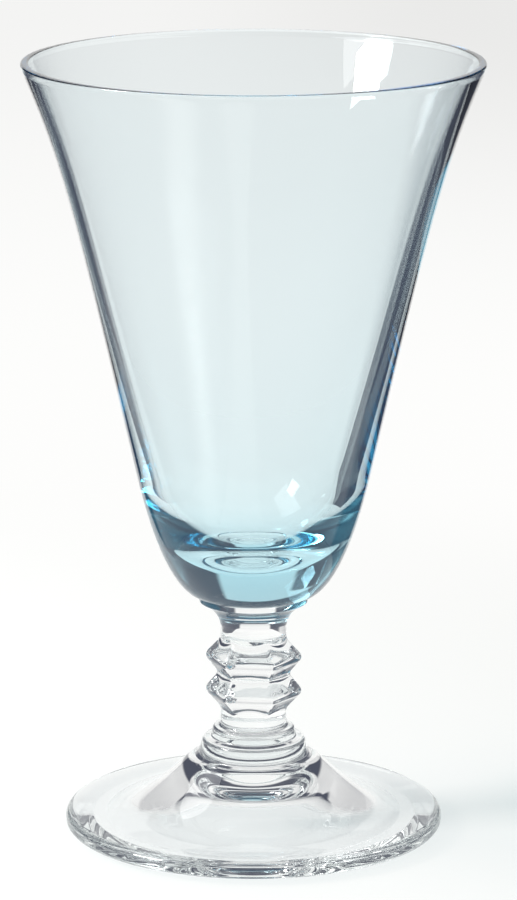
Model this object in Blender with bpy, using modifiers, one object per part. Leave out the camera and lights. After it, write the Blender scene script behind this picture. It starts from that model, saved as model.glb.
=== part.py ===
"""Footed juice glass: a flared blue bowl on a clear stem with two six-sided knops, and a clear hollow foot.

Bowl, stem and foot are three gathers of glass that share one upright axis. The origin is on the table
under the middle of the foot, and +Z points up. Lengths are in metres and angles in degrees.
"""

import math

import bpy
from mathutils import Vector
from mathutils.geometry import interpolate_bezier

# The seams where one gather of glass sits on the next
SEAM_GAP = 0.0003

# Foot: a small shoulder under the stem, a cone that runs out into a flat flange, and a hollow underneath
FOOT_RADIUS = 0.0309
FOOT_EDGE_THICKNESS = 0.0034
FOOT_EDGE_ROUNDING = 0.0020
FOOT_EDGE_BEVEL_WIDTH = 0.0046
FOOT_EDGE_BEVEL_HEIGHT = 0.0010
FOOT_EDGE_BEVEL_ROUNDING = 0.0009
FOOT_FLANGE_WIDTH = 0.0049
FOOT_REST_WIDTH = 0.0022
FOOT_SEAT_HEIGHT = 0.0123
FOOT_SEAT_LEDGE = 0.0006
FOOT_SHOULDER_WIDTH = 0.0013
FOOT_SHOULDER_DROP = 0.0006
FOOT_SHOULDER_SLOPE = 5
FOOT_CONE_SLOPE = 43
FOOT_HOLLOW_HEIGHT = 0.00645
FOOT_HOLLOW_FLANK_RADIUS = 0.01115
FOOT_HOLLOW_FLANK_HEIGHT = 0.0050
FOOT_HOLLOW_FLANK_SLOPE = 34
FOOT_HOLLOW_EDGE_SLOPE = 9

# Stem, from its lower ring up to the seat under the bowl
LOWER_RING_RADIUS = 0.0090
LOWER_RING_TOP_RADIUS = 0.0083
LOWER_RING_HEIGHT = 0.0028
LOWER_RING_ROUNDING = 0.0009
UPPER_RING_RADIUS = 0.0070
UPPER_RING_TOP_RADIUS = 0.0066
UPPER_RING_HEIGHT = 0.0019
UPPER_RING_ROUNDING = 0.0006
RING_CREASE_ROUNDING = 0.0003
NECK_RADIUS = 0.0054
NECK_ROOT_ROUNDING = 0.0008
LOWER_NECK_LENGTH = 0.0023
UPPER_NECK_LENGTH = 0.0011
BOWL_SEAT_RADIUS = 0.0088
BOWL_SEAT_FLARE_HEIGHT = 0.0046
BOWL_SEAT_LIP_HEIGHT = 0.0009
BOWL_SEAT_LIP_SLOPE = 25

# Knops: two six-sided double cones with soft edges, one above the other
KNOP_SIDES = 6
KNOP_TURN = -6.5
KNOP_BELT_RADIUS = 0.0084
KNOP_GROOVE_RADIUS = 0.0060
KNOP_OUTER_SLOPE_HEIGHT = 0.0037
KNOP_INNER_SLOPE_HEIGHT = 0.0029
KNOP_EDGE_ROUNDING = 0.0008
KNOP_EDGE_STEPS = 3
KNOP_EDGE_LEAST_ANGLE = 20
KNOP_ROOT_DEPTH = 0.0006

# Bowl
BOWL_HEIGHT = 0.0873
BOWL_RIM_RADIUS = 0.0370
BOWL_RIM_SLOPE = 67.4
BOWL_RIM_WALL = 0.0013
BOWL_WALL = 0.00175
BOWL_SHOULDER_RADIUS = 0.0191
BOWL_SHOULDER_HEIGHT = 0.0206
BOWL_SHOULDER_SLOPE = 77.5
BOWL_SHOULDER_WALL = 0.0033
BOWL_BASE_THICKNESS = 0.0065
BOWL_INNER_SHOULDER_DROP = 0.0015
BOWL_PAD_SLOPE = 10.5

# How soon the bowl's wall thickens away from its rim, and how late towards its shoulder
RIM_TAPER = 6
SHOULDER_TAPER = 3

# How far a curve's end tangents reach, as shares of its span
EVEN_PULL = 0.36
RIM_PULL = 0.22
ABOVE_SHOULDER_PULL = 0.69
BELOW_SHOULDER_PULL = 0.52
PAD_PULL = 0.18
CONE_PULL = 0.50
FLANGE_PULL = 0.42
HOLLOW_FLANK_PULL = 0.41
HOLLOW_TOP_PULL = 0.35
INNER_FLOOR_PULL = 0.47
INNER_SHOULDER_PULL = 0.31

# Glass
GLASS_IOR = 1.52
GLASS_ROUGHNESS = 0.02
BOWL_BLUE = (0.66, 0.86, 0.92)
STEM_CLEAR = (0.92, 0.95, 0.95)
FOOT_CLEAR = (0.93, 0.96, 0.96)

# Fineness of the faceted surfaces
BOWL_SIDES = 64
STEM_SIDES = 48
FOOT_SIDES = 64
LONG_CURVE_POINTS = 12
SHORT_CURVE_POINTS = 9
ROUNDING_POINTS = 4
MOST_ROUNDING_SHARE = 0.49
AXIS_MERGE = 0.00001


def direction(degrees):
    """Unit vector in the radius and height plane, at an angle above the radius."""
    return Vector((math.cos(math.radians(degrees)), math.sin(math.radians(degrees))))


def curve(start, start_angle, end, end_angle, count, start_pull=EVEN_PULL, end_pull=EVEN_PULL):
    """Points of a smooth curve that leaves start and reaches end at the two given angles."""
    span = (end - start).length
    leave = start + start_pull * span * direction(start_angle)
    arrive = end - end_pull * span * direction(end_angle)
    return interpolate_bezier(start, leave, arrive, end, count)


def rounded(corners):
    """Points along straight lines whose corners, given as (radius, height, rounding), are rounded off."""
    places = [Vector(corner[:2]) for corner in corners]
    points = [places[0]]
    for i in range(1, len(corners) - 1):
        if corners[i][2] == 0:
            points.append(places[i])
            continue
        back = places[i - 1] - places[i]
        onward = places[i + 1] - places[i]
        half_angle = back.angle(onward) / 2
        most_reach = MOST_ROUNDING_SHARE * min(back.length, onward.length)
        reach = min(corners[i][2] / math.tan(half_angle), most_reach)
        start = places[i] + reach * back.normalized()
        end = places[i] + reach * onward.normalized()
        pull = 4 / 3 * math.tan((math.pi - 2 * half_angle) / 4) * math.tan(half_angle)
        leave = start.lerp(places[i], pull)
        arrive = end.lerp(places[i], pull)
        points.extend(interpolate_bezier(start, leave, arrive, end, ROUNDING_POINTS))
    points.append(places[-1])
    return points


def turned(name, outline, sides, collection):
    """Object made by turning an outline of (radius, height) points about the upright axis."""
    mesh = bpy.data.meshes.new(name)
    points = [(radius, 0, height) for radius, height in outline]
    mesh.from_pydata(points, [(i, i + 1) for i in range(len(points) - 1)], [])
    piece = bpy.data.objects.new(name, mesh)
    collection.objects.link(piece)
    screw = piece.modifiers.new("Turn", "SCREW")
    screw.axis = "Z"
    screw.angle = 2 * math.pi
    screw.steps = sides
    screw.render_steps = sides
    screw.use_merge_vertices = True
    screw.merge_threshold = AXIS_MERGE
    screw.use_smooth_shade = True
    return piece


def glass(name, colour):
    """Polished glass of one colour."""
    material = bpy.data.materials.new(name)
    material.use_nodes = True
    shader = material.node_tree.nodes["Principled BSDF"]
    shader.inputs["Base Color"].default_value = (*colour, 1)
    shader.inputs["Roughness"].default_value = GLASS_ROUGHNESS
    shader.inputs["Metallic"].default_value = 0
    shader.inputs["IOR"].default_value = GLASS_IOR
    shader.inputs["Transmission Weight"].default_value = 1
    return material


def collection_named(name):
    """New collection in the scene."""
    collection = bpy.data.collections.new(name)
    bpy.context.scene.collection.children.link(collection)
    return collection


def foot_outline():
    """Foot: the stem's seat, a shoulder, a cone, a flat flange, a bevelled edge and the hollow below."""
    seat_edge = Vector((LOWER_RING_RADIUS + FOOT_SEAT_LEDGE, FOOT_SEAT_HEIGHT))
    cone_top = seat_edge + Vector((FOOT_SHOULDER_WIDTH, -FOOT_SHOULDER_DROP))
    shoulder = curve(seat_edge, -FOOT_SHOULDER_SLOPE, cone_top, -FOOT_CONE_SLOPE, ROUNDING_POINTS)
    flange = Vector((FOOT_RADIUS - FOOT_FLANGE_WIDTH, FOOT_EDGE_THICKNESS))
    cone = curve(cone_top, -FOOT_CONE_SLOPE, flange, 0, LONG_CURVE_POINTS, CONE_PULL, FLANGE_PULL)
    rest_radius = FOOT_RADIUS - FOOT_EDGE_BEVEL_WIDTH
    edge = rounded([
        (*flange, 0),
        (FOOT_RADIUS, FOOT_EDGE_THICKNESS, FOOT_EDGE_ROUNDING),
        (FOOT_RADIUS, FOOT_EDGE_BEVEL_HEIGHT, FOOT_EDGE_BEVEL_ROUNDING),
        (rest_radius, 0, FOOT_EDGE_BEVEL_ROUNDING),
        (rest_radius - FOOT_REST_WIDTH, 0, 0),
    ])
    flank = Vector((FOOT_HOLLOW_FLANK_RADIUS, FOOT_HOLLOW_FLANK_HEIGHT))
    hollow_top = Vector((0, FOOT_HOLLOW_HEIGHT))
    inward_edge = 180 - FOOT_HOLLOW_EDGE_SLOPE
    inward_flank = 180 - FOOT_HOLLOW_FLANK_SLOPE
    skirt = curve(edge[-1], inward_edge, flank, inward_flank, SHORT_CURVE_POINTS)
    dome = curve(
        flank, inward_flank, hollow_top, 180, SHORT_CURVE_POINTS, HOLLOW_FLANK_PULL, HOLLOW_TOP_PULL
    )
    seat_middle = Vector((0, FOOT_SEAT_HEIGHT))
    return [seat_middle] + shoulder + cone[1:] + edge[1:] + skirt[1:] + dome[1:]


def stem_levels():
    """Heights on the stem, from its underside up to the top of the bowl's seat."""
    levels = {"underside": FOOT_SEAT_HEIGHT + SEAM_GAP}
    levels["lower_ring"] = levels["underside"] + LOWER_RING_HEIGHT
    levels["upper_ring"] = levels["lower_ring"] + UPPER_RING_HEIGHT
    levels["knop_bottom"] = levels["upper_ring"] + LOWER_NECK_LENGTH
    levels["lower_belt"] = levels["knop_bottom"] + KNOP_OUTER_SLOPE_HEIGHT
    levels["groove"] = levels["lower_belt"] + KNOP_INNER_SLOPE_HEIGHT
    levels["upper_belt"] = levels["groove"] + KNOP_INNER_SLOPE_HEIGHT
    levels["knop_top"] = levels["upper_belt"] + KNOP_OUTER_SLOPE_HEIGHT
    levels["flare"] = levels["knop_top"] + UPPER_NECK_LENGTH
    levels["lip"] = levels["flare"] + BOWL_SEAT_FLARE_HEIGHT
    levels["seat"] = levels["lip"] + BOWL_SEAT_LIP_HEIGHT
    return levels


def stem_outline(levels):
    """Round body of the stem: the flared seat, a plain neck through the knops, and two sloping rings."""
    lip = Vector((BOWL_SEAT_RADIUS, levels["lip"]))
    neck_top = Vector((NECK_RADIUS, levels["flare"]))
    flare = curve(lip, 180 + BOWL_SEAT_LIP_SLOPE, neck_top, -90, SHORT_CURVE_POINTS)
    rings = rounded([
        (*neck_top, 0),
        (NECK_RADIUS, levels["upper_ring"], NECK_ROOT_ROUNDING),
        (UPPER_RING_TOP_RADIUS, levels["upper_ring"], UPPER_RING_ROUNDING),
        (UPPER_RING_RADIUS, levels["lower_ring"], RING_CREASE_ROUNDING),
        (LOWER_RING_TOP_RADIUS, levels["lower_ring"], LOWER_RING_ROUNDING),
        (LOWER_RING_RADIUS, levels["underside"], 0),
        (0, levels["underside"], 0),
    ])
    return [Vector((0, levels["seat"])), Vector((BOWL_SEAT_RADIUS, levels["seat"]))] + flare + rings[1:]


def knop_outline(levels):
    """Both knops as one outline whose ends are buried in the neck."""
    root = NECK_RADIUS - KNOP_ROOT_DEPTH
    return [
        Vector((0, levels["knop_top"])),
        Vector((root, levels["knop_top"])),
        Vector((KNOP_BELT_RADIUS, levels["upper_belt"])),
        Vector((KNOP_GROOVE_RADIUS, levels["groove"])),
        Vector((KNOP_BELT_RADIUS, levels["lower_belt"])),
        Vector((root, levels["knop_bottom"])),
        Vector((0, levels["knop_bottom"])),
    ]


def bowl_wall(drop):
    """Thickness of the bowl's wall at a share of the way down from the rim to the shoulder."""
    thinner_rim = (BOWL_WALL - BOWL_RIM_WALL) * (1 - drop) ** RIM_TAPER
    thicker_shoulder = (BOWL_SHOULDER_WALL - BOWL_WALL) * drop ** SHOULDER_TAPER
    return BOWL_WALL - thinner_rim + thicker_shoulder


def bowl_outline(pad_height):
    """Bowl: up the inside from the middle of its floor, over the rounded rim and down the outside."""
    rim_height = pad_height + BOWL_HEIGHT
    rim = Vector((BOWL_RIM_RADIUS, rim_height - BOWL_RIM_WALL / 2))
    shoulder = Vector((BOWL_SHOULDER_RADIUS, pad_height + BOWL_SHOULDER_HEIGHT))
    pad_edge = Vector((BOWL_SEAT_RADIUS, pad_height))
    down_rim = 180 + BOWL_RIM_SLOPE
    down_shoulder = 180 + BOWL_SHOULDER_SLOPE
    down_pad = 180 + BOWL_PAD_SLOPE
    wall_outside = curve(
        rim, down_rim, shoulder, down_shoulder, LONG_CURVE_POINTS, RIM_PULL, ABOVE_SHOULDER_PULL
    )
    base_outside = curve(
        shoulder, down_shoulder, pad_edge, down_pad, SHORT_CURVE_POINTS, BELOW_SHOULDER_PULL, PAD_PULL
    )
    wall_inside = []
    for point in wall_outside:
        drop = (rim.y - point.y) / (rim.y - shoulder.y)
        wall_inside.append(point - Vector((bowl_wall(drop), 0)))
    floor = Vector((0, pad_height + BOWL_BASE_THICKNESS))
    up_inside = wall_inside[-2] - wall_inside[-1]
    inner_slope = math.degrees(math.atan2(up_inside.y, up_inside.x))
    inner_shoulder = wall_inside[-1] - up_inside * (BOWL_INNER_SHOULDER_DROP / up_inside.y)
    base_inside = curve(
        floor, 0, inner_shoulder, inner_slope, SHORT_CURVE_POINTS, INNER_FLOOR_PULL, INNER_SHOULDER_PULL
    )
    lip = rounded([
        (*wall_inside[0], 0),
        (wall_inside[0].x, rim_height, BOWL_RIM_WALL / 2),
        (rim.x, rim_height, BOWL_RIM_WALL / 2),
        (*rim, 0),
    ])
    inside = base_inside + wall_inside[::-1]
    return inside + lip[1:-1] + wall_outside + base_outside[1:] + [Vector((0, pad_height))]


def main():
    """Builds the glass from the table up."""
    for old in list(bpy.data.objects):
        bpy.data.objects.remove(old, do_unlink=True)
    pieces = collection_named("juice_glass")
    forms = collection_named("juice_glass_forms")
    levels = stem_levels()

    foot = turned("foot", foot_outline(), FOOT_SIDES, pieces)
    foot.data.materials.append(glass("foot_clear_glass", FOOT_CLEAR))

    stem = turned("stem", stem_outline(levels), STEM_SIDES, pieces)
    stem.data.materials.append(glass("stem_clear_glass", STEM_CLEAR))
    knops = turned("knop_form", knop_outline(levels), KNOP_SIDES, forms)
    knops.rotation_euler.z = math.radians(KNOP_TURN)
    knops.hide_render = True
    knops.display_type = "WIRE"
    knops.modifiers["Turn"].use_smooth_shade = False
    edges = knops.modifiers.new("Pressed edges", "BEVEL")
    edges.width = KNOP_EDGE_ROUNDING
    edges.segments = KNOP_EDGE_STEPS
    edges.limit_method = "ANGLE"
    edges.angle_limit = math.radians(KNOP_EDGE_LEAST_ANGLE)
    join = stem.modifiers.new("Join knops", "BOOLEAN")
    join.operation = "UNION"
    join.object = knops

    bowl = turned("bowl", bowl_outline(levels["seat"] + SEAM_GAP), BOWL_SIDES, pieces)
    bowl.data.materials.append(glass("bowl_blue_glass", BOWL_BLUE))


main()
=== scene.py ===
# %% [markdown]
# # A footed juice glass
#
# This lesson dresses a small footed juice glass: a flared bowl of pale blue glass on a clear stem with
# two six-sided knops, standing on a clear hollow foot. The solid model gives three plain nodes, bowl,
# stem and foot. Glass shows every wave of its surface, so each node is replaced by a fine smooth surface
# of the same shape. Most of the look then comes from light: a white sheet behind the glass, a dark room
# around the sheet, and two soft lamps on the left.

import math

import bpy
import numpy as np
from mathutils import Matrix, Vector


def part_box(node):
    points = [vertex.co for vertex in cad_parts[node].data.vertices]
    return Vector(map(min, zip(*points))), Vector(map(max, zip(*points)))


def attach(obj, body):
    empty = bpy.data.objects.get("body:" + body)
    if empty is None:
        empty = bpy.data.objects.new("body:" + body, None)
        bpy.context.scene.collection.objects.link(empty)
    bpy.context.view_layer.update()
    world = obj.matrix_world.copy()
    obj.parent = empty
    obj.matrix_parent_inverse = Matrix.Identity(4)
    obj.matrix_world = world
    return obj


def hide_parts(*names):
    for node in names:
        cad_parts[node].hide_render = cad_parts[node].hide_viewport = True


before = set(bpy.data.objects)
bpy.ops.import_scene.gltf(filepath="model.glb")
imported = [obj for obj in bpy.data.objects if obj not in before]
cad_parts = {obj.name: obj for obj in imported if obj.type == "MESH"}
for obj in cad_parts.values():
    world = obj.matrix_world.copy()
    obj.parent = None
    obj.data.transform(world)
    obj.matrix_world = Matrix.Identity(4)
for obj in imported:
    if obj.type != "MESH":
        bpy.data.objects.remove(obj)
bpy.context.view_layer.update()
scene = bpy.context.scene
MM = 0.001

for node in ("bowl", "stem", "foot"):
    low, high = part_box(node)
    print(f"{node}: {low.z / MM:.1f} to {high.z / MM:.1f} mm high, {(high.x - low.x) / MM:.1f} mm across")

# %% [markdown]
# ## The camera
#
# The rim and the foot are circles, and the photograph shows both as ellipses. Their two flatnesses, with
# their widths and the distance between them, fix where the camera stood: about 0.7 m away and 0.23 m up,
# looking 13 degrees down through a long lens. A small sideways shift puts the glass where the frame has it.

# %% Camera
PICTURE_WIDTH, PICTURE_HEIGHT = 517, 900
CAMERA_DISTANCE, CAMERA_HEIGHT = 0.69596, 0.22851
CAMERA_DIP = 0.23270
FOCAL_PIXELS = 4419.2
AXIS_PIXEL = 253.6
FILM_HEIGHT = 36

lens = bpy.data.cameras.new("camera")
lens.sensor_fit = "VERTICAL"
lens.sensor_height = FILM_HEIGHT
lens.lens = FOCAL_PIXELS / PICTURE_HEIGHT * FILM_HEIGHT
lens.shift_x = (PICTURE_WIDTH / 2 - AXIS_PIXEL) / PICTURE_HEIGHT
lens.clip_start = 0.01
camera = bpy.data.objects.new("camera", lens)
camera.location = (0, -CAMERA_DISTANCE, CAMERA_HEIGHT)
camera.rotation_euler = (math.pi / 2 - CAMERA_DIP, 0, 0)
scene.collection.objects.link(camera)
scene.camera = camera
print(f"lens {lens.lens:.1f} mm on {FILM_HEIGHT} mm film, sideways shift {lens.shift_x:.4f}")

# %% [markdown]
# ## Drawing a profile
#
# A turned piece is drawn as half of its cross-section, a row of (radius, height) points in millimetres.
# Two tools are enough: a smooth curve that leaves one point and reaches the next at given angles, and
# straight lines whose corners are rounded off. A row of any spacing is then dealt out again at an even
# step, so that no band of the surface is coarser than its neighbours.

# %% Profile tools
LINE_SHARE = 0.49


def heading(degrees):
    """Unit step in the radius and height plane: the cosine and the sine of the angle."""
    return np.array([math.cos(math.radians(degrees)), math.sin(math.radians(degrees))])


def bezier(start, leave, arrive, end, count):
    """Cubic blend of four points: each is weighed by its share of (1 - t + t) cubed, with t from 0 to 1."""
    t = np.linspace(0, 1, count)[:, None]
    s = 1 - t
    return s ** 3 * start + 3 * s ** 2 * t * leave + 3 * s * t ** 2 * arrive + t ** 3 * end


def sweep(start, start_angle, end, end_angle, start_pull=0.36, end_pull=0.36, count=120):
    """Curve that leaves start and reaches end at two angles. The pulls are shares of their distance."""
    start, end = np.array(start, float), np.array(end, float)
    span = np.linalg.norm(end - start)
    leave = start + start_pull * span * heading(start_angle)
    arrive = end - end_pull * span * heading(end_angle)
    return bezier(start, leave, arrive, end, count)


def rounded(corners, count=14):
    """Straight lines through (radius, height, rounding) corners, each rounded by an arc of its rounding.

    A corner's arc starts and ends where a circle of its rounding touches the two lines, and takes up at most
    a share of each line, so that arcs never run into each other.
    """
    places = [np.array(corner[:2], float) for corner in corners]
    runs = [places[0][None]]
    for i in range(1, len(corners) - 1):
        back, onward = places[i - 1] - places[i], places[i + 1] - places[i]
        back_length, onward_length = np.linalg.norm(back), np.linalg.norm(onward)
        half = math.acos(back @ onward / (back_length * onward_length)) / 2
        reach = min(corners[i][2] / math.tan(half), LINE_SHARE * min(back_length, onward_length))
        first = places[i] + reach * back / back_length
        last = places[i] + reach * onward / onward_length
        pull = 4 / 3 * math.tan((math.pi - 2 * half) / 4) * math.tan(half)
        leave = first + pull * (places[i] - first)
        arrive = last + pull * (places[i] - last)
        runs.append(bezier(first, leave, arrive, last, count))
    return np.concatenate(runs + [places[-1][None]])


def dealt(row, step):
    """The same row with points at one even step, by linear interpolation along its length."""
    along = np.concatenate([[0], np.cumsum(np.linalg.norm(np.diff(row, axis=0), axis=1))])
    even = np.linspace(0, along[-1], max(round(along[-1] / step), 2) + 1)
    return np.stack([np.interp(even, along, row[:, 0]), np.interp(even, along, row[:, 1])], 1)


print("profile tools: curve, rounded corners, even spacing")

# %% [markdown]
# ## From a grid of points to a closed mesh
#
# Every piece of this glass is a grid: rows of points round the axis, one row per step along the profile. A
# modifier such as Screw could turn a profile too, but a grid that is worked out as whole arrays also lets
# the radius change with the angle. Neighbouring rows and columns make quads, and a fan of triangles closes
# each pole.
#
# Bowl, stem and foot were melted together, so there is no face between them in the real glass. Each mesh
# still has to be closed. The faces of a joint are therefore marked with a number, called fused, which the
# material reads later to let light pass straight on.


# %% Closed meshes
def closed_mesh(name, points, rows, sides, marks, top_mark, bottom_mark):
    """Quads between neighbouring rows and columns of a grid that wraps round, and a fan per pole."""
    row = np.arange(rows - 1)[:, None] * sides
    here = np.arange(sides)
    after = (here + 1) % sides
    quads = np.stack([row + here, row + sides + here, row + sides + after, row + after], 2).reshape(-1, 4)
    upper, lower, last = len(points) - 2, len(points) - 1, (rows - 1) * sides
    upper_fan = np.stack([np.full(sides, upper), here, after], 1)
    lower_fan = np.stack([np.full(sides, lower), last + after, last + here], 1)
    corners = np.concatenate([quads.ravel(), upper_fan.ravel(), lower_fan.ravel()]).astype(np.int32)
    counts = np.concatenate([np.full(len(quads), 4), np.full(2 * sides, 3)])
    mesh = bpy.data.meshes.new(name)
    mesh.vertices.add(len(points))
    mesh.vertices.foreach_set("co", points.astype(np.float32).ravel())
    mesh.loops.add(len(corners))
    mesh.loops.foreach_set("vertex_index", corners)
    mesh.polygons.add(len(counts))
    mesh.polygons.foreach_set("loop_start", (np.cumsum(counts) - counts).astype(np.int32))
    mesh.update(calc_edges=True)
    mesh.validate()
    mesh.polygons.foreach_set("use_smooth", np.ones(len(counts), bool))
    fused = np.concatenate([np.repeat(marks, sides), np.full(sides, top_mark), np.full(sides, bottom_mark)])
    mesh.attributes.new("fused", "FLOAT", "FACE").data.foreach_set("value", fused.astype(np.float32))
    piece = bpy.data.objects.new(name, mesh)
    scene.collection.objects.link(piece)
    print(f"{name}: {rows} rows of {sides}, {int(counts.sum() - 2 * len(counts))} triangles")
    return piece


print("closed meshes: quads between rows, a fan at each pole, a mark on joint faces")

# %% [markdown]
# ## Turning a profile
#
# One parameter of the surface runs along the profile and the other round the axis. A profile that starts
# and ends on the axis is closed by the poles alone. One that ends on a joint is closed by a flat disc. The
# radius may also depend on the angle, which is how the six-sided knops grow out of the same grid as the
# round rings.

# %% Turned surfaces
JOINT_STEPS = 8


def disc(edge):
    """Even steps from near the axis out to an edge point (radius, height), all at the edge's height."""
    share = np.linspace(0, 1, JOINT_STEPS + 1)[1:]
    return np.stack([share * edge[0], np.full(JOINT_STEPS, edge[1])], 1)


def turned(name, side, sides, top_joint=False, bottom_joint=False, shape=None):
    """Closed surface of revolution: x = r cos a, y = r sin a, z = h for each (r, h) of the side and angle a.

    The side runs from its upper end to its lower end with the outside of the glass on its right. An end
    that isn't on the axis gets a disc. shape(angles, radius, height), if given, answers the radius for
    every grid point.
    """
    row, marks = side[1:], np.zeros(len(side) - 2)
    if side[0, 0] > 0:
        row = np.concatenate([disc(side[0]), row])
        marks = np.concatenate([np.full(JOINT_STEPS - 1, float(top_joint)), [0], marks])
    if side[-1, 0] > 0:
        row = np.concatenate([row, disc(side[-1])[-2::-1]])
        marks = np.concatenate([marks, np.full(JOINT_STEPS - 1, float(bottom_joint))])
    else:
        row, marks = row[:-1], marks[:-1]
    angles = np.arange(sides) * 2 * math.pi / sides
    radius = np.repeat(row[:, :1], sides, 1)
    height = np.repeat(row[:, 1:], sides, 1)
    if shape is not None:
        radius = shape(angles[None], radius, height)
    grid = np.stack([radius * np.cos(angles), radius * np.sin(angles), height], 2).reshape(-1, 3)
    poles = np.array([[0, 0, side[0, 1]], [0, 0, side[-1, 1]]])
    points = np.concatenate([grid, poles]) * MM
    return closed_mesh(name, points, len(row), sides, marks, float(top_joint), float(bottom_joint))


print(f"turned surfaces: {JOINT_STEPS} steps across a joint")

# %% [markdown]
# ## The foot
#
# The foot is a gather of clear glass that was opened out while hot. Under the stem it has a small shoulder,
# then a cone that runs out into a flat flange with a rounded edge. Below it is hollow, and it rests on a
# narrow ring near its edge. The hollow matters for the look: through the flange, whose faces are nearly
# parallel, the table is seen plainly, while the cone over the hollow bends in the dark sides of the room as
# two dark patches beside the stem. Both faces are therefore drawn as curves with named slopes.

# %% Foot
JOINT_SLIT = 0.005
FOOT_SEAT, SHOULDER_ANGLE = (9.6, 12.3), -5
FOOT_CONE, CONE_ANGLE, CONE_PULL, FLANGE_PULL = (10.9, 11.7), -43, 0.50, 0.42
FOOT_RADIUS, FOOT_FLANGE, FOOT_EDGE = 30.9, 26.0, 3.4
EDGE_ROUND, EDGE_LOW, LOW_ROUND, EDGE_BEVEL = 2.0, 1.0, 0.9, 4.6
FOOT_REST, SKIRT_ANGLE = 24.1, 171
FOOT_FLANK, FLANK_ANGLE = (11.15, 5.0), 146
FOOT_HOLLOW, DOME_PULL, CROWN_PULL = 6.45, 0.41, 0.35
FOOT_STEP, FOOT_SIDES = 0.16, 256


def foot_side():
    """Shoulder, cone and flange, edge and hollow, in turn, as curves and rounded lines."""
    shoulder = sweep(FOOT_SEAT, SHOULDER_ANGLE, FOOT_CONE, CONE_ANGLE)
    cone = sweep(FOOT_CONE, CONE_ANGLE, (FOOT_FLANGE, FOOT_EDGE), 0, CONE_PULL, FLANGE_PULL)
    edge = rounded([
        (FOOT_FLANGE, FOOT_EDGE, 0), (FOOT_RADIUS, FOOT_EDGE, EDGE_ROUND), (FOOT_RADIUS, EDGE_LOW, LOW_ROUND),
        (FOOT_RADIUS - EDGE_BEVEL, 0, LOW_ROUND), (FOOT_REST, 0, 0),
    ])
    skirt = sweep((FOOT_REST, 0), SKIRT_ANGLE, FOOT_FLANK, FLANK_ANGLE)
    dome = sweep(FOOT_FLANK, FLANK_ANGLE, (0, FOOT_HOLLOW), 180, DOME_PULL, CROWN_PULL)
    return dealt(np.concatenate([shoulder, cone[1:], edge[1:], skirt[1:], dome[1:]]), FOOT_STEP)


foot = turned("glass_foot", foot_side(), FOOT_SIDES, top_joint=True)

# %% [markdown]
# ## The stem
#
# The stem is pressed glass. From below it has two sloping rings, a slim neck, two knops and a flared seat
# for the bowl. A knop is a six-sided double cone. A union of cones with a rod would leave sharp creases, and
# glass that was pressed hot has none. The radius of each knop is therefore a smooth minimum of its two
# slopes, divided by a rounded hexagon's distance, and the knops join the neck by a smooth maximum.

# %% Stem
NECK = 5.38
SEAT_RADIUS, SEAT_LEVEL, LIP_LEVEL = 8.85, 39.4, 38.5
FLARE_LEVEL, FLARE_ANGLE = 33.9, 205
STEM_FOOT = FOOT_SEAT[1] + JOINT_SLIT
KNOP_BELT, KNOP_GROOVE, KNOP_ROOT = 8.45, 5.9, 4.8
KNOP_LEVELS = (19.6, 23.3, 26.2, 29.1, 32.8)
BELT_ROUND, GROOVE_ROUND, ROOT_ROUND, KNOP_REACH = 1.6, 1.2, 0.6, 1.2
KNOP_TURN = math.radians(-6.5)
HEXAGON_SHARPNESS = 26
NECK_FOOT, NECK_FOOT_ROUND = 17.4, 0.8
RING_CORNERS = ((6.6, 17.3, 0.6), (6.95, 15.6, 0.3), (8.3, 15.4, 0.9), (9.0, 12.7, 0.3))
STEM_STEP, STEM_SIDES = 0.075, 192


def smooth_least(a, b, width):
    """The lesser of two values, blended by a parabola where they differ by less than a width."""
    share = np.clip(0.5 + 0.5 * (b - a) / width, 0, 1)
    return b + (a - b) * share - width * share * (1 - share)


def smooth_most(a, b, width):
    """The greater of two values, blended likewise."""
    return -smooth_least(-a, -b, width)


def hexagon(angles):
    """Distance of a rounded hexagon's side: a high-power mean of the cosines to its six side directions."""
    sides = KNOP_TURN + math.radians(30) + np.arange(6)[:, None, None] * math.radians(60)
    near = np.maximum(np.cos(angles[None] - sides), 0)
    return np.sum(near ** HEXAGON_SHARPNESS, axis=0) ** (1 / HEXAGON_SHARPNESS)


def knop_radius(angles, radius, height):
    """Two hexagonal double cones, one above the other, joined to the round neck."""
    bottom, lower, groove, upper, top = KNOP_LEVELS
    outward = (KNOP_BELT - KNOP_ROOT) / (lower - bottom)
    inward = (KNOP_BELT - KNOP_GROOVE) / (groove - lower)
    low_knop = smooth_least(
        KNOP_BELT - (lower - height) * outward, KNOP_BELT - (height - lower) * inward, BELT_ROUND)
    high_knop = smooth_least(
        KNOP_BELT - (height - upper) * outward, KNOP_BELT - (upper - height) * inward, BELT_ROUND)
    knops = smooth_most(low_knop, high_knop, GROOVE_ROUND) * math.cos(math.radians(30)) / hexagon(angles)
    beside = (height > bottom - KNOP_REACH) & (height < top + KNOP_REACH)
    return np.where(beside, smooth_most(radius, knops, ROOT_ROUND), radius)


def stem_side():
    """Lip and flare of the seat, the neck, and the rings as rounded lines."""
    flare = sweep((SEAT_RADIUS, LIP_LEVEL), FLARE_ANGLE, (NECK, FLARE_LEVEL), -90, count=60)
    rings = rounded([
        (NECK, FLARE_LEVEL, 0), (NECK, NECK_FOOT, NECK_FOOT_ROUND), *RING_CORNERS,
        (FOOT_SEAT[0], STEM_FOOT, 0)])
    return dealt(np.concatenate([[(SEAT_RADIUS, SEAT_LEVEL)], flare, rings[1:]]), STEM_STEP)


stem = turned(
    "glass_stem", stem_side(), STEM_SIDES, top_joint=True, bottom_joint=True, shape=knop_radius)

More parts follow.
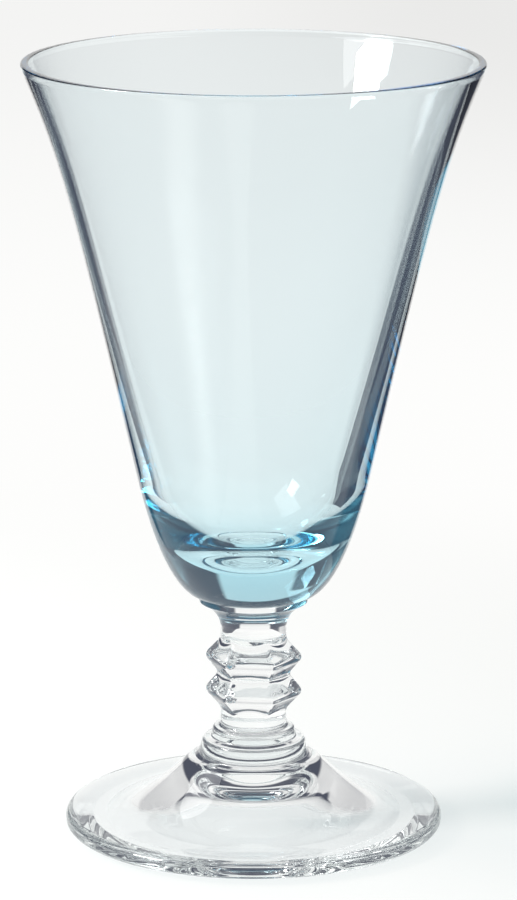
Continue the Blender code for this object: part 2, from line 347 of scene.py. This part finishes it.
# %% [markdown]
# ## The bowl
#
# The bowl was blown. Its outside is two curves that meet at a shoulder: a flared wall, and a round base
# that ends on the stem's seat. The wall is 1.75 mm thick, thins to 1.3 mm at the fire-polished rim, and
# thickens to 3.3 mm at the shoulder. Blown glass is never quite true: this cavity sits 0.28 mm to the left,
# so that the dark band in the right wall is wider than that in the left. A whole turned surface would miss
# this, so the inner face is moved over after the turning.

# %% Bowl
PAD_LEVEL = SEAT_LEVEL + JOINT_SLIT
RIM_LEVEL, RIM_RADIUS, RIM_WALL = 127.0, 37.0, 1.3
SHOULDER = (19.07, 60.3)
RIM_ANGLE, WALL_ANGLE, PAD_ANGLE = 247.4, 257.5, 190.5
WALL_PULLS, OUTER_BASE_PULLS = (0.22, 0.69), (0.52, 0.18)
WALL, SHOULDER_WALL = 1.75, 3.3
OFF_CENTRE = 0.28
BOWL_FLOOR, FLOOR_PULL, BASE_PULL = 46.2, 0.47, 0.31
RIM_TAPER, SWELL, LEAN_TAPER = 6, 3, 4
BASE_TOP, PAD_KEPT = 58.8, 1.0
BOWL_STEP, BOWL_SIDES = 0.55, 256


def wall_thickness(drop):
    """Even wall, less a taper by a high power up to the rim, plus a swell by a lower one to the shoulder."""
    return WALL - (WALL - RIM_WALL) * (1 - drop) ** RIM_TAPER + (SHOULDER_WALL - WALL) * drop ** SWELL


def bowl_side():
    """Up the inside from the floor, over the rim, and down the outside to the pad on the stem."""
    rim = (RIM_RADIUS, RIM_LEVEL - RIM_WALL / 2)
    outer_wall = sweep(rim, RIM_ANGLE, SHOULDER, WALL_ANGLE, *WALL_PULLS, count=160)
    pad = (SEAT_RADIUS, PAD_LEVEL)
    outer_base = sweep(SHOULDER, WALL_ANGLE, pad, PAD_ANGLE, *OUTER_BASE_PULLS, count=90)
    drop = (rim[1] - outer_wall[:, 1]) / (rim[1] - SHOULDER[1])
    inner_wall = outer_wall - np.stack([wall_thickness(drop), 0 * drop], 1)
    inner_wall = inner_wall[inner_wall[:, 1] > BASE_TOP]
    last = inner_wall[-2] - inner_wall[-1]
    inner_angle = math.degrees(math.atan2(last[1], last[0]))
    reach = (BASE_TOP - inner_wall[-1, 1]) / last[1]
    base_top = inner_wall[-1] + reach * last
    inner_base = sweep((0, BOWL_FLOOR), 0, base_top, inner_angle, FLOOR_PULL, BASE_PULL, count=90)
    lip = rounded([
        (*inner_wall[0], 0), (inner_wall[0, 0], RIM_LEVEL, RIM_WALL / 2),
        (RIM_RADIUS, RIM_LEVEL, RIM_WALL / 2), (*rim, 0)], count=10)
    inside = dealt(np.concatenate([inner_base, inner_wall[::-1]]), BOWL_STEP)
    outside = dealt(np.concatenate([outer_wall, outer_base[1:]]), BOWL_STEP)
    return np.concatenate([inside, lip[1:-1], outside])


def lean_inside(piece, side):
    """Moves the inner face to the left, by nothing at the rim and by the whole offset from the shoulder down.

    Between them the share is 1 less a power of the way left to the shoulder. A point counts as inner by its
    distance from the outside at the same height, over one rim's thickness. The pad's last millimetre stays.
    """
    outside = side[np.argmax(side[:, 0]):][::-1]
    points = np.empty(len(piece.data.vertices) * 3, np.float32)
    piece.data.vertices.foreach_get("co", points)
    points = points.reshape(-1, 3)
    height = points[:, 2] / MM
    depth = np.interp(height, outside[:, 1], outside[:, 0]) - np.hypot(points[:, 0], points[:, 1]) / MM
    inner = np.clip(depth / RIM_WALL, 0, 1) * (height > PAD_LEVEL + PAD_KEPT)
    drop = np.clip((RIM_LEVEL - height) / (RIM_LEVEL - SHOULDER[1]), 0, 1)
    points[:, 0] -= OFF_CENTRE * MM * (1 - (1 - drop) ** LEAN_TAPER) * inner
    piece.data.vertices.foreach_set("co", points.ravel())
    piece.data.update()


bowl_row = bowl_side()
bowl = turned("glass_bowl", bowl_row, BOWL_SIDES, bottom_joint=True)
lean_inside(bowl, bowl_row)

# %% [markdown]
# ## Shader sums
#
# A material's pattern is a sum of values that vary over the surface. One small class wraps a socket, so
# that the sum can be written as plain Python, and each operator adds a Math node. Every other node comes
# from one method, which takes the node's type, its settings and its sockets.


# %% Shader helpers
class Wire:
    """A socket of a node tree that can be added, subtracted and multiplied like a number."""

    def __init__(self, tree, socket):
        self.tree, self.socket = tree, socket

    def maths(self, operation, first, second):
        """One Math node on two values, each a wire or a number."""
        node = self.tree.nodes.new("ShaderNodeMath")
        node.operation = operation
        plug(self.tree, node.inputs[0], first)
        plug(self.tree, node.inputs[1], second)
        return Wire(self.tree, node.outputs[0])

    def __add__(self, other):
        return self.maths("ADD", self, other)

    def __radd__(self, other):
        return self.maths("ADD", other, self)

    def __sub__(self, other):
        return self.maths("SUBTRACT", self, other)

    def __rsub__(self, other):
        return self.maths("SUBTRACT", other, self)

    def __mul__(self, other):
        return self.maths("MULTIPLY", self, other)

    def __rmul__(self, other):
        return self.maths("MULTIPLY", other, self)


def plug(tree, socket, value):
    """Links a wire to a socket, or sets the socket's own value."""
    if isinstance(value, Wire):
        tree.links.new(value.socket, socket)
    else:
        socket.default_value = value


class Nodes:
    """The emptied node tree of a material or a world."""

    def __init__(self, owner):
        owner.use_nodes = True
        self.tree = owner.node_tree
        self.tree.nodes.clear()

    def add(self, kind, settings=None, sockets=None, out=0):
        """Adds a node, makes its settings, fills its sockets, and answers one of its outputs as a wire."""
        node = self.tree.nodes.new("ShaderNode" + kind)
        for name, value in (settings or {}).items():
            setattr(node, name, value)
        for name, value in (sockets or {}).items():
            plug(self.tree, node.inputs[name], value)
        return Wire(self.tree, node.outputs[out]) if node.outputs else node

    def step(self, value, low, high):
        """Soft step: 0 up to the low value, 1 from the high value on, and an S curve between them."""
        return self.add("MapRange", {"interpolation_type": "SMOOTHSTEP"}, {
            "Value": value, "From Min": low, "From Max": high})

    def past(self, value, edge, soft):
        """Soft step across an edge, blended from one softness below it to one softness above it."""
        return self.step(value, edge - soft, edge + soft)


print("shader helpers: sums of sockets, one way to add a node")

# %% [markdown]
# ## Glass
#
# All three pieces are soda glass, which bends light with an index of 1.52. Most of its colour is in its
# depth, not on its face: a Volume Absorption takes away red light along the way, so the thin wall looks
# pale and the thick base looks cyan. The bowl's face adds a faint tint, and the clear glass has a trace of
# grey green. Plain blue paint on the face would make wall and base equally blue.
#
# Four things vary over the faces. Faint waves of thickness bend what is seen through them, wiped marks
# make the gloss a little uneven, a thin veil of dust dulls the colour by a hair, and the marked joint
# faces bend nothing. Two Light Path switches let lamps and the table's own light through the glass to the
# table, tinted and a little dimmed, which gives the pale shadow that glass has.

# %% Glass material
GLASS_INDEX, JOINT_INDEX = 1.52, 1.002
WIPE_SCALE, DUST_SCALE = 45, 1600
POLISHED, WIPED = 0.002, 0.010
DUST_DULLING = (0.975, 0.98, 0.98)


def glass(name, depth_colour, depth_density, wave_scale, wave_height, shade, tint=(1, 1, 1)):
    """Polished glass whose waves have a scale along each axis and a height in metres."""
    material = bpy.data.materials.new(name)
    make = Nodes(material)
    place = make.add("TexCoord", out="Object")
    stretched = make.add("Mapping", sockets={"Vector": place, "Scale": wave_scale})
    waves = make.add("TexNoise", sockets={"Vector": stretched, "Scale": 1, "Detail": 2, "Roughness": 0.4})
    wiped = make.add("TexNoise", sockets={
        "Vector": place, "Scale": WIPE_SCALE, "Detail": 3, "Distortion": 0.8})
    dust = make.add("TexNoise", sockets={"Vector": place, "Scale": DUST_SCALE, "Detail": 1})
    bent = make.add("Bump", sockets={"Strength": 1, "Distance": wave_height, "Height": waves})
    veil = make.add("Mix", {"data_type": "RGBA"}, {
        "Factor": wiped * dust, "A": (*tint, 1), "B": (*np.multiply(tint, DUST_DULLING), 1)}, out=2)
    body = make.add("BsdfPrincipled", sockets={
        "Base Color": veil, "Roughness": POLISHED + WIPED * wiped * wiped, "IOR": GLASS_INDEX,
        "Transmission Weight": 1, "Normal": bent})
    joint = make.add("BsdfRefraction", sockets={"IOR": JOINT_INDEX, "Roughness": 0})
    fused = make.add("Attribute", {"attribute_name": "fused"}, out="Fac")
    surface = make.add("MixShader", sockets={0: fused, 1: body, 2: joint})
    for rays in ("Is Diffuse Ray", "Is Shadow Ray"):
        passing = make.add("BsdfTransparent", sockets={"Color": (*shade, 1)})
        switch = make.add("LightPath", out=rays)
        surface = make.add("MixShader", sockets={0: switch, 1: surface, 2: passing})
    depth = make.add("VolumeAbsorption", sockets={"Color": (*depth_colour, 1), "Density": depth_density})
    make.add("OutputMaterial", sockets={"Surface": surface, "Volume": depth})
    print(f"{name}: {len(make.tree.nodes)} nodes")
    return material


# %% [markdown]
# ## Three glasses
#
# The bowl's glass is blue and was drawn out in blowing, so its waves are long along the axis. The stem was
# pressed in a mould and has fine even waves. The foot was shaped with a tool and has broader ones. Each
# piece then rides on the one body and takes the place of its plain node.

# %% Three glasses
CLEAR_DEPTH, CLEAR_DENSITY = (0.90, 0.97, 0.95), 6

blue_glass = glass(
    "deep_blue_glass", depth_colour=(0.104, 0.74, 0.888), depth_density=28.6, wave_scale=(70, 70, 24),
    wave_height=2.5e-6, shade=(0.80, 0.87, 0.88), tint=(0.975, 0.993, 0.996))
stem_glass = glass(
    "pressed_clear_glass", CLEAR_DEPTH, CLEAR_DENSITY, wave_scale=(240, 240, 240),
    wave_height=1.5e-6, shade=(0.80, 0.83, 0.84))
foot_glass = glass(
    "drawn_clear_glass", CLEAR_DEPTH, CLEAR_DENSITY, wave_scale=(110, 110, 110),
    wave_height=2.5e-6, shade=(0.95, 0.96, 0.965))

for piece, material, node, slot in (
    (bowl, blue_glass, "bowl", "blue_glass"),
    (stem, stem_glass, "stem", "clear_stem_glass"),
    (foot, foot_glass, "foot", "clear_foot_glass"),
):
    piece.data.materials.append(material)
    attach(piece, "root")
    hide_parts(node)
    print(f"{piece.name}: {material.name} in place of {node}")

# %% [markdown]
# ## The table
#
# The glass stands on a large white table, a flat disc a little below the foot's ring. A plane would do as
# well, but a disc is as wide on every side of the glass, so that no corner of it comes into view.

# %% Table
TABLE_RADIUS, TABLE_DROP, TABLE_SIDES = 1.3, 0.00015, 96
TABLE_RINGS = (0.02, 0.05, 0.10, 0.24, 0.5, TABLE_RADIUS)

ring = np.array(TABLE_RINGS)
turn = np.arange(TABLE_SIDES) * 2 * math.pi / TABLE_SIDES
table_grid = np.stack([
    np.outer(ring, np.cos(turn)), np.outer(ring, np.sin(turn)),
    np.full((len(ring), TABLE_SIDES), -TABLE_DROP)], 2).reshape(-1, 3)
table_points = np.concatenate([table_grid, [[0, 0, -TABLE_DROP]]])
here = np.arange(TABLE_SIDES)
after = (here + 1) % TABLE_SIDES
inner = np.arange(len(ring) - 1)[:, None] * TABLE_SIDES
outer = inner + TABLE_SIDES
table_quads = np.stack([inner + here, outer + here, outer + after, inner + after], 2).reshape(-1, 4)
table_fan = np.stack([np.full(TABLE_SIDES, len(table_points) - 1), here, after], 1)
table_mesh = bpy.data.meshes.new("white_table")
table_mesh.from_pydata(table_points.tolist(), [], table_quads.tolist() + table_fan.tolist())
table = bpy.data.objects.new("white_table", table_mesh)
scene.collection.objects.link(table)
print(f"table: {TABLE_RADIUS:.1f} m radius, {len(table_mesh.polygons)} faces")

# %% [markdown]
# ## White that runs into the background
#
# Near the glass the table is matt and takes the shadow. Farther out it glows, and painted shade darkens it a
# little with distance, more on the right, so that table and background run into one white.
#
# The glass shows more of the table than the camera does. The bright lens in the base and the dark bands in
# the wall tell where the white ended: at two slanting edges, one on either side. Beyond these edges, and
# outside a round patch under the glass, rays that come through glass pass the table and see the room.

# %% Table white
CARD_RADIUS, CARD_SOFT = 0.075, 0.004
CARD_LEFT, CARD_LEFT_LEAN, CARD_RIGHT, CARD_RIGHT_LEAN = 0.058, 0.20, 0.032, 0.28
GLOW_NEAR, GLOW_FAR = 0.09, 0.24
FADE_NEAR, FADE_FAR, FADE_LEFT, FADE_RIGHT = 0.30, 1.0, 0.08, 0.08
FADE_TURN_LEFT, FADE_TURN_RIGHT = -0.05, 0.08
MATT_WHITE = (0.90, 0.905, 0.90, 1)
WHITE, WHITE_STRENGTH = (1.0, 1.0, 0.99, 1), 0.985

table_white = bpy.data.materials.new("table_white")
make = Nodes(table_white)
place = make.add("TexCoord", out="Object")
across = make.add("SeparateXYZ", sockets={"Vector": place}, out="X")
ahead = make.add("SeparateXYZ", sockets={"Vector": place}, out="Y")
away = make.add("VectorMath", {"operation": "LENGTH"}, {0: place}, out="Value")
# Painted shade: the far glow is darkened a little with distance, and more so towards the right.
fade = FADE_LEFT + FADE_RIGHT * make.step(across, FADE_TURN_LEFT, FADE_TURN_RIGHT)
painted_shade_falloff = make.step(away, FADE_NEAR, FADE_FAR) * fade
plain = make.add("BsdfDiffuse", sockets={"Color": MATT_WHITE})
glow = make.add("Emission", sockets={"Color": WHITE, "Strength": WHITE_STRENGTH - painted_shade_falloff})
top = make.add("MixShader", sockets={0: make.step(away, GLOW_NEAR, GLOW_FAR), 1: plain, 2: glow})
through_glass = make.add("LightPath", out="Is Transmission Ray") + make.add("LightPath", out="Is Glossy Ray")
past_left = make.step(across * -1 - CARD_LEFT - CARD_LEFT_LEAN * ahead, 0, CARD_SOFT)
past_right = make.step(across - CARD_RIGHT - CARD_RIGHT_LEAN * ahead, 0, CARD_SOFT)
past_card = make.add("Math", {"operation": "MAXIMUM"}, {0: past_left, 1: past_right})
gone = through_glass * past_card * make.step(away, CARD_RADIUS, CARD_RADIUS + CARD_SOFT)
open_air = make.add("BsdfTransparent")
top = make.add("MixShader", sockets={0: gone, 1: top, 2: open_air})
make.add("OutputMaterial", sockets={"Surface": top})
table_mesh.materials.append(table_white)
print(f"table white: {len(make.tree.nodes)} nodes")

# %% [markdown]
# ## The room
#
# Clear glass on white is seen by its dark outlines, and these are what it bends in from the sides. Behind
# the glass hangs a lit white sheet, 38 degrees wide and 33 degrees high, a little dimmer towards its top.
# High up it reaches farther to the left, and low down it ends sooner there. Beside it and above it the room
# is dark. Farther round, from 40 degrees on the left and 66 on the right, the pale table top is seen again
# low down. The room behind the camera is a little lighter, and a strip of the table at the left front is
# lit. Tracing rays from the photograph's dark patches through the solid gave these directions.
#
# Real sheets and walls could stand round the glass. Here they are the world's background, drawn by compass
# direction and rise, which is the sine of the height angle, because then no wall gets into another view.

# %% Picture of the room
ROOM_DARK = (0.080, 0.088, 0.120, 1)
SHEET_LEFT, SHEET_RIGHT, SHEET_SOFT = math.radians(-21), math.radians(17), math.radians(2)
SHEET_TOP, TOP_SOFT = 0.545, 0.015
DIM_FROM, DIM_TO, TOP_DIM = 0.05, 0.40, 0.15
TOP_REACH, REACH_FROM, REACH_TO = math.radians(22), 0.42, 0.55
LOW_LOSS, LOSS_FROM, LOSS_TO = math.radians(6), -0.22, -0.12
LEFT_SIDE, RIGHT_SIDE, SIDE_SOFT = math.radians(-40), math.radians(66), math.radians(5)
SIDE_RISE, SIDE_RISE_SOFT, SIDE_LIGHT = -0.04, 0.06, 0.75
STRIP_FROM, STRIP_TO, STRIP_SOFT = math.radians(-140), math.radians(-121), math.radians(7)
STRIP_RISE, STRIP_RISE_SOFT, STRIP_LIGHT = -0.50, 0.06, 0.7
FRONT_FROM, FRONT_TO, FRONT_LIGHT = math.radians(95), math.radians(125), 0.10
FRONT_RISE, FRONT_RISE_SOFT = 0.05, 0.07

room = bpy.data.worlds.new("room")
scene.world = room
make = Nodes(room)
direction = make.add("TexCoord", out="Generated")
across = make.add("SeparateXYZ", sockets={"Vector": direction}, out="X")
ahead = make.add("SeparateXYZ", sockets={"Vector": direction}, out="Y")
rise = make.add("SeparateXYZ", sockets={"Vector": direction}, out="Z")
compass = make.add("Math", {"operation": "ARCTAN2"}, {0: across, 1: ahead})
turned_away = make.add("Math", {"operation": "ABSOLUTE"}, {0: compass})
reach = TOP_REACH * make.step(rise, REACH_FROM, REACH_TO)
loss = LOW_LOSS * (1 - make.step(rise, LOSS_FROM, LOSS_TO))
sheet_width = make.past(compass - SHEET_LEFT + reach - loss, 0, SHEET_SOFT) * (
    1 - make.past(compass, SHEET_RIGHT, SHEET_SOFT))
sheet_height = (1 - make.past(rise, SHEET_TOP, TOP_SOFT)) * (1 - TOP_DIM * make.step(rise, DIM_FROM, DIM_TO))
sides = 1 - make.past(compass, LEFT_SIDE, SIDE_SOFT) + make.past(compass, RIGHT_SIDE, SIDE_SOFT)
table_share = SIDE_LIGHT * sides * (1 - make.past(rise, SIDE_RISE, SIDE_RISE_SOFT))
strip = make.past(compass, STRIP_FROM, STRIP_SOFT) * (1 - make.past(compass, STRIP_TO, STRIP_SOFT))
strip_share = STRIP_LIGHT * strip * (1 - make.past(rise, STRIP_RISE, STRIP_RISE_SOFT))
front = make.step(turned_away, FRONT_FROM, FRONT_TO)
front_share = FRONT_LIGHT * front * make.past(rise, FRONT_RISE, FRONT_RISE_SOFT)
picture = make.add("Mix", {"data_type": "RGBA", "clamp_factor": False}, {
    "Factor": sheet_width * sheet_height + table_share + strip_share + front_share, "A": ROOM_DARK,
    "B": tuple(WHITE_STRENGTH * c for c in WHITE)}, out=2)
print(f"picture of the room: {len(make.tree.nodes)} nodes")

# %% [markdown]
# ## Three uses of the room
#
# One background has to serve three kinds of rays, and Light Path keeps them apart. The camera sees plain
# white. Rays that have bounced off the matt table gather soft daylight. Only what the glass shows comes
# from the picture of the room, so the dark room takes no light from the table.

# %% Background
DAYLIGHT = (0.57, 0.57, 0.56, 1)

bounced = make.add("LightPath", out="Diffuse Depth")
gathered = make.add("Mix", {"data_type": "RGBA"}, {"Factor": bounced, "A": picture, "B": DAYLIGHT}, out=2)
looked_at = make.add("LightPath", out="Is Camera Ray")
seen = make.add("Mix", {"data_type": "RGBA"}, {
    "Factor": looked_at, "A": gathered, "B": tuple((WHITE_STRENGTH - FADE_LEFT) * c for c in WHITE)}, out=2)
background = make.add("Background", sockets={"Color": seen})
make.add("OutputWorld", sockets={"Surface": background})
print(f"room: {len(make.tree.nodes)} nodes")

# %% [markdown]
# ## The lamps
#
# Two soft lamps on the left give the highlights and the shadow to the right. The bright patches in the
# photograph tell where they were. The one inside the back wall mirrors a small lamp 105 degrees round to the
# left and 31 degrees up. The one low in the bowl mirrors a wide lamp 92 degrees round and 46 degrees up.
# They are area lamps, because the glass mirrors a lamp's outline as well as its light.

# %% Lamps
LAMP_AIM = Vector((0, 0, 0.09))


def soft_lamp(name, compass, rise, distance, width, tall, power):
    """Rectangular lamp at a compass direction and a height angle, turned to face the glass."""
    towards = Vector((math.sin(compass) * math.cos(rise), math.cos(compass) * math.cos(rise), math.sin(rise)))
    light = bpy.data.lights.new(name, "AREA")
    light.shape = "RECTANGLE"
    light.size, light.size_y = width, tall
    light.energy = power
    lamp = bpy.data.objects.new(name, light)
    lamp.location = LAMP_AIM + distance * towards
    lamp.rotation_euler = (-towards).to_track_quat("-Z", "Y").to_euler()
    scene.collection.objects.link(lamp)
    print(f"{name}: {distance} m away, {width} by {tall} m, {power} W")


soft_lamp(
    "side_lamp", math.radians(-105), math.radians(31), distance=0.9, width=0.24, tall=0.19, power=6.0)
soft_lamp(
    "high_lamp", math.radians(-92), math.radians(46), distance=1.2, width=1.10, tall=0.48, power=4.6)

# %% [markdown]
# ## Finishing
#
# Light in solid glass is mirrored many times inside it before it leaves, so the limits on bounces are
# raised.

# %% Bounces and finish
MOST_BOUNCES = 40

for limit in ("max_bounces", "glossy_bounces", "transmission_bounces", "transparent_max_bounces"):
    setattr(scene.cycles, limit, MOST_BOUNCES)
scene.view_settings.view_transform = "Standard"
